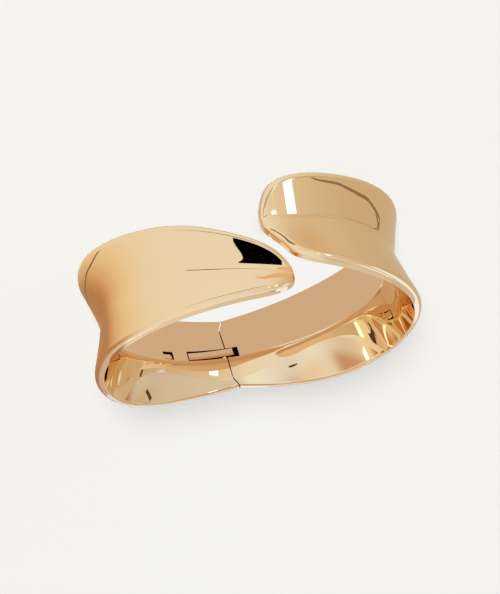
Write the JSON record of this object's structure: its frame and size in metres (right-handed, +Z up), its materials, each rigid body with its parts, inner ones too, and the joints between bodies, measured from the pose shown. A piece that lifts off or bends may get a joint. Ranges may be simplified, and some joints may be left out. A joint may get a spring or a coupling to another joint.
{
  "type": "wide bangle",
  "caption": "Wide polished gold-plated bangle with a sprung hinge at the back; in front the oval band spreads into a pointed leaf and a rounded paddle that pass each other.",
  "frame": {"origin": "bottom centre of the bangle's box, on the surface it lies on", "axes": "+Z up, along the bangle's own axis but for its lie; +Y towards the hinge at the back; +X towards the leaf's side"},
  "size_m": [0.0702, 0.0522, 0.0274],
  "materials": {
    "gold_plate": "mirror polished, gold plated",
    "steel_pin": "drawn wire"
  },
  "bodies": {
    "leaf": {"leaf_half": "gold_plate", "hinge_tongue": "gold_plate", "spring_anchor": "gold_plate"},
    "paddle": {"paddle_half": "gold_plate", "hinge_pin": "steel_pin"}
  },
  "joints": [
    {"name": "hinge", "type": "hinge", "parent": "leaf", "child": "paddle", "pos_m": [-0.00007, 0.02423, 0.0124], "axis": [0.0035, -0.0244, -0.9997], "range_deg": [0, 35], "stiffness_Nm_per_rad": 0.2, "springref_deg": -22.92}
  ]
}
